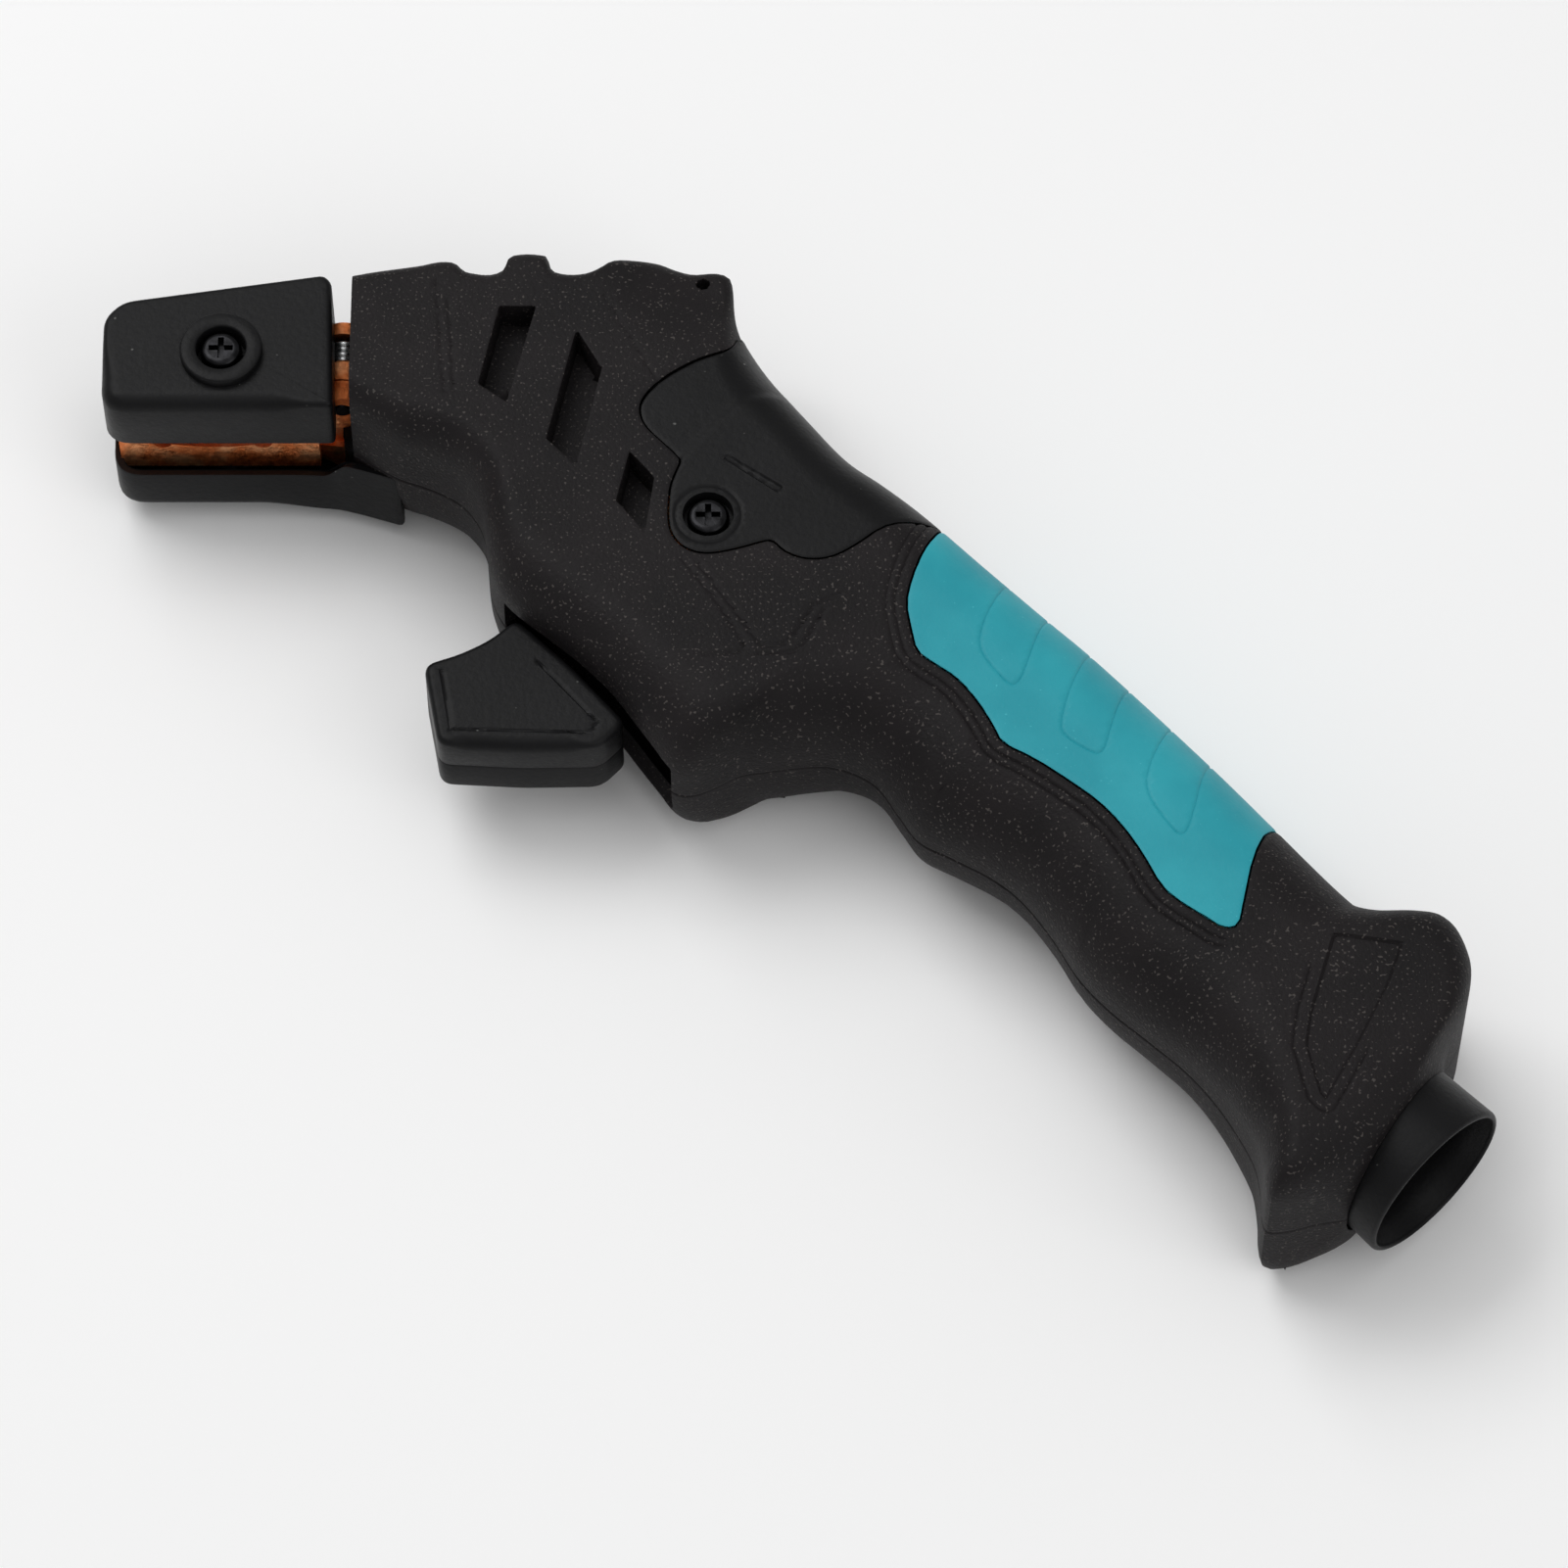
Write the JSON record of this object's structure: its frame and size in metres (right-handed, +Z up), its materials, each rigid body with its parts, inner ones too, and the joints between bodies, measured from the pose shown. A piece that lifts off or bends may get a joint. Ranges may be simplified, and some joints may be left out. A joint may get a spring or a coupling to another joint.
{
  "type": "pistol grip electrode holder",
  "caption": "Hand held welding electrode holder with copper jaws, plastic jaw covers, a squeeze trigger and a two shell pistol casing with a soft grip insert.",
  "frame": {"origin": "trigger pivot axis where it meets the flat side that the tool lies on", "axes": "+X from the jaws towards the tail along the head, +Y towards the back edge, +Z up through the thickness, the tool lying on its side"},
  "size_m": [0.2027, 0.1559, 0.034],
  "materials": {
    "casing_plastic": "fine textured glass filled nylon",
    "cover_plastic": "smooth moulded heat resistant plastic",
    "grip_plastic": "satin moulded elastomer",
    "cast_copper": "rough cast copper alloy",
    "steel": "zinc plated",
    "spring_steel": "bright drawn wire",
    "guide_plastic": "acetal",
    "brass_socket": "turned"
  },
  "bodies": {
    "casing": {"left_shell": "casing_plastic", "right_shell": "casing_plastic", "rear_cover": "cover_plastic", "grip_insert": "grip_plastic", "fixed_jaw_cover": "cover_plastic", "fixed_jaw": "cast_copper", "jaw_pin": "steel", "jaw_spring": "spring_steel", "wedge_guide": "guide_plastic", "trigger_pin": "steel", "trigger_spring": "spring_steel", "conductor_bar": "cast_copper", "cable_socket": "brass_socket", "socket_screws": "steel", "cable_sleeve": "cover_plastic", "fixed_cover_screw": "steel", "rear_cover_screws": "steel", "casing_screws": "steel", "rail_screws": "steel", "bar_screw": "steel"},
    "trigger_lever": {"trigger": "cover_plastic"},
    "wedge": {"push_wedge": "steel"},
    "upper_jaw": {"moving_jaw": "cast_copper", "moving_jaw_cover": "cover_plastic", "moving_cover_screw": "steel", "cam_pin": "steel"}
  },
  "joints": [
    {"name": "trigger_pull", "type": "hinge", "parent": "casing", "child": "trigger_lever", "pos_m": [0, 0, 0.017], "axis": [0, 0, 1], "range_deg": [0, 10], "stiffness_Nm_per_rad": 1.2, "deforming": ["trigger_spring"]},
    {"name": "wedge_slide", "type": "slide", "parent": "casing", "child": "wedge", "axis": [-1, 0, 0], "range_m": [0, 0.00611]},
    {"name": "jaw_open", "type": "hinge", "parent": "casing", "child": "upper_jaw", "pos_m": [-0.03, 0.0352, 0.021], "axis": [0, 1, 0], "range_deg": [0, 11], "stiffness_Nm_per_rad": 2, "deforming": ["jaw_spring"]}
  ],
  "couplings": [
    {"joint": "wedge_slide", "follows": "trigger_pull", "m_per_rad": 0.035},
    {"joint": "jaw_open", "follows": "trigger_pull", "ratio": 1.1}
  ]
}
